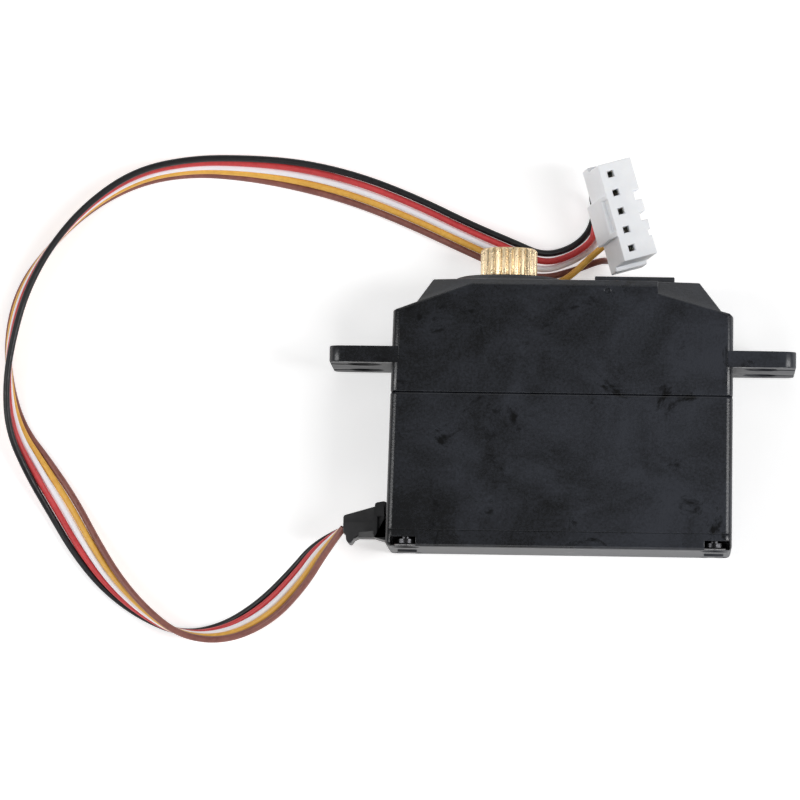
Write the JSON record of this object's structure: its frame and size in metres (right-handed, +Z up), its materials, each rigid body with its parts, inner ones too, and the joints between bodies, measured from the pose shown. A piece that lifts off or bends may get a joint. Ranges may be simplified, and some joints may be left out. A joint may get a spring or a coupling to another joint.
{
  "type": "hobby servo motor",
  "caption": "Geared hobby servo with a flat case, two mounting tabs, a splined brass output and a five-wire ribbon lead ending in a white plug.",
  "frame": {"origin": "middle of the case and its tabs, cable left out, on the surface that the broad side lies on", "axes": "+X along the case from tab to tab, +Y out of the splined output, +Z up from the broad side that it lies on"},
  "size_m": [0.0829, 0.0513, 0.015],
  "materials": {
    "case_plastic": "matte, satin on edges",
    "screw_steel": "satin",
    "bush_bronze": "satin",
    "pin_steel": "ground",
    "motor_steel": "satin",
    "cap_plastic": "matte",
    "magnet": "matte",
    "tinned_brass": "satin",
    "track_board": "matte",
    "lead_insulation": "satin",
    "relief_rubber": "satin",
    "wire_black": "satin",
    "wire_red": "satin",
    "wire_white": "satin",
    "wire_yellow": "satin",
    "wire_brown": "satin",
    "connector_white": "satin",
    "gear_brass": "satin",
    "gear_steel": "satin",
    "wiper_plastic": "satin",
    "core_steel": "satin",
    "winding_copper": "lacquered",
    "commutator_copper": "satin"
  },
  "bodies": {
    "housing": {"upper_case": "case_plastic", "lower_case": "case_plastic", "bottom_cover": "case_plastic", "case_screws": "screw_steel", "output_bearing": "bush_bronze", "left_gear_pin": "pin_steel", "right_gear_pin": "pin_steel", "motor_can": "motor_steel", "motor_end_cap": "cap_plastic", "motor_bearings": "bush_bronze", "motor_magnets": "magnet", "motor_terminals": "tinned_brass", "pot_housing": "cap_plastic", "pot_board": "track_board", "pot_terminals": "tinned_brass", "inner_leads": "lead_insulation", "strain_relief": "relief_rubber", "wire_black": "wire_black", "wire_red": "wire_red", "wire_white": "wire_white", "wire_yellow": "wire_yellow", "wire_brown": "wire_brown", "connector_housing": "connector_white", "connector_contacts": "tinned_brass"},
    "output": {"output_gear": "gear_brass", "pot_shaft": "pin_steel", "pot_wiper": "wiper_plastic"},
    "fourth": {"fourth_gear": "gear_steel"},
    "third": {"third_gear": "gear_brass"},
    "second": {"second_gear": "gear_brass"},
    "first": {"first_gear": "gear_brass"},
    "rotor": {"rotor_shaft": "pin_steel", "rotor_core": "core_steel", "rotor_windings": "winding_copper", "commutator": "commutator_copper", "motor_pinion": "gear_brass"}
  },
  "joints": [
    {"name": "rotor_turn", "type": "hinge", "parent": "housing", "child": "rotor", "pos_m": [0.0102, 0.00435, 0.0075], "axis": [0, 1, 0], "range_deg": [-22113, 22113]},
    {"name": "first_gear_turn", "type": "hinge", "parent": "housing", "child": "first", "pos_m": [0.0048, 0.00435, 0.0075], "axis": [0, 1, 0], "range_deg": [-6319, 6319]},
    {"name": "second_gear_turn", "type": "hinge", "parent": "housing", "child": "second", "pos_m": [-0.0004, 0.00435, 0.0075], "axis": [0, 1, 0], "range_deg": [-2107, 2107]},
    {"name": "third_gear_turn", "type": "hinge", "parent": "housing", "child": "third", "pos_m": [0.0048, 0.00435, 0.0075], "axis": [0, 1, 0], "range_deg": [-703, 703]},
    {"name": "fourth_gear_turn", "type": "hinge", "parent": "housing", "child": "fourth", "pos_m": [-0.0004, 0.00435, 0.0075], "axis": [0, 1, 0], "range_deg": [-234.5, 234.5]},
    {"name": "output_turn", "type": "hinge", "parent": "housing", "child": "output", "pos_m": [-0.0058, 0.00435, 0.0075], "axis": [0, 1, 0], "range_deg": [-90.1, 90.1]}
  ],
  "couplings": [
    {"joint": "first_gear_turn", "follows": "rotor_turn", "ratio": -0.28571},
    {"joint": "second_gear_turn", "follows": "rotor_turn", "ratio": 0.095238},
    {"joint": "third_gear_turn", "follows": "rotor_turn", "ratio": -0.031746},
    {"joint": "fourth_gear_turn", "follows": "rotor_turn", "ratio": 0.010582},
    {"joint": "output_turn", "follows": "rotor_turn", "ratio": -0.00407}
  ]
}
